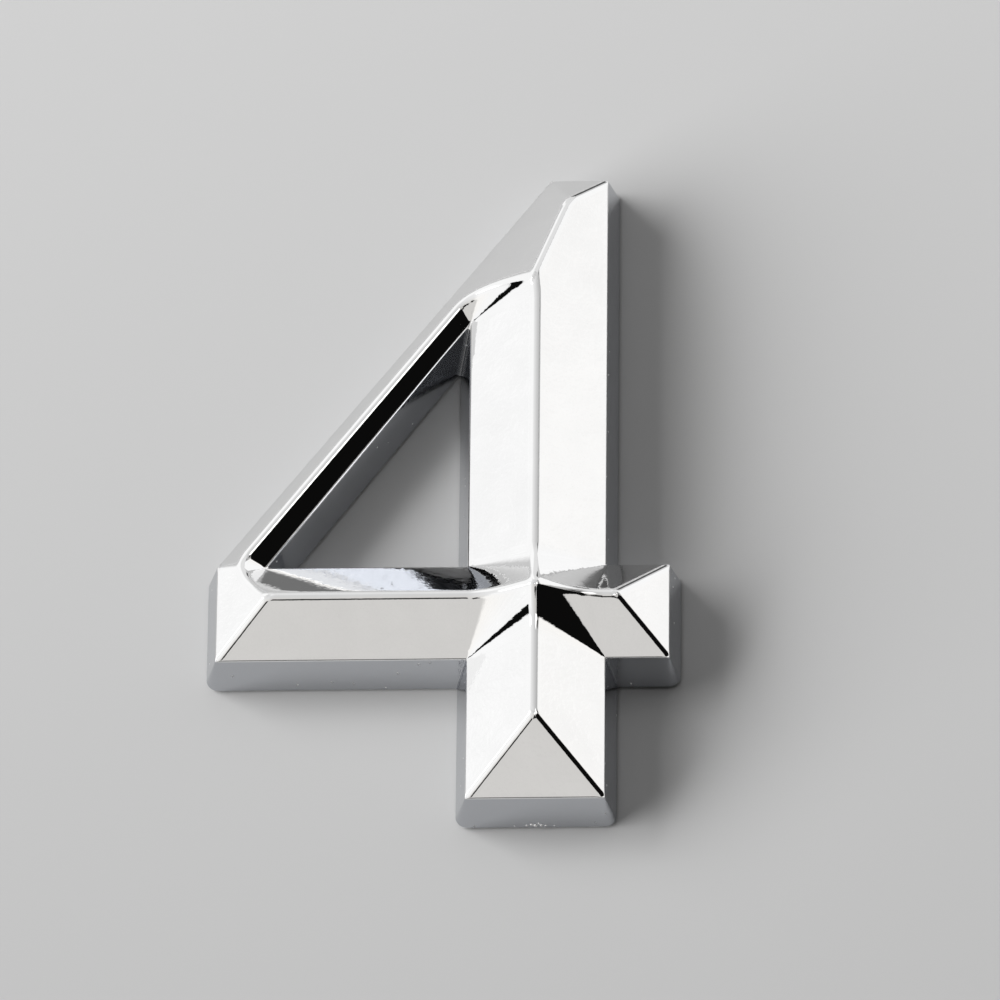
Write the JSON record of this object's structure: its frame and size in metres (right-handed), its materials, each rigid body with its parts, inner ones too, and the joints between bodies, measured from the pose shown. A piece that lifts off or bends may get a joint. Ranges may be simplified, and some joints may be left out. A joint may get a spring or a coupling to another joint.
{
  "type": "self-adhesive house number",
  "caption": "Chrome-plated door numeral with bevelled, ridged strokes on spread side walls, hollow behind, with a foam adhesive pad let into its back.",
  "frame": {"origin": "centre of the figure's overall length and width, on the back of the adhesive pad", "axes": "+Y up the figure from foot to top, +X to the reader's right, +Z out of the bevelled face; the figure lies on its back"},
  "size_m": [0.0324, 0.05, 0.0074],
  "materials": {
    "chrome_plate": "polished",
    "foam_tape": "matte"
  },
  "bodies": {
    "root": {"numeral": "chrome_plate", "adhesive_pad": "foam_tape"}
  },
  "joints": []
}
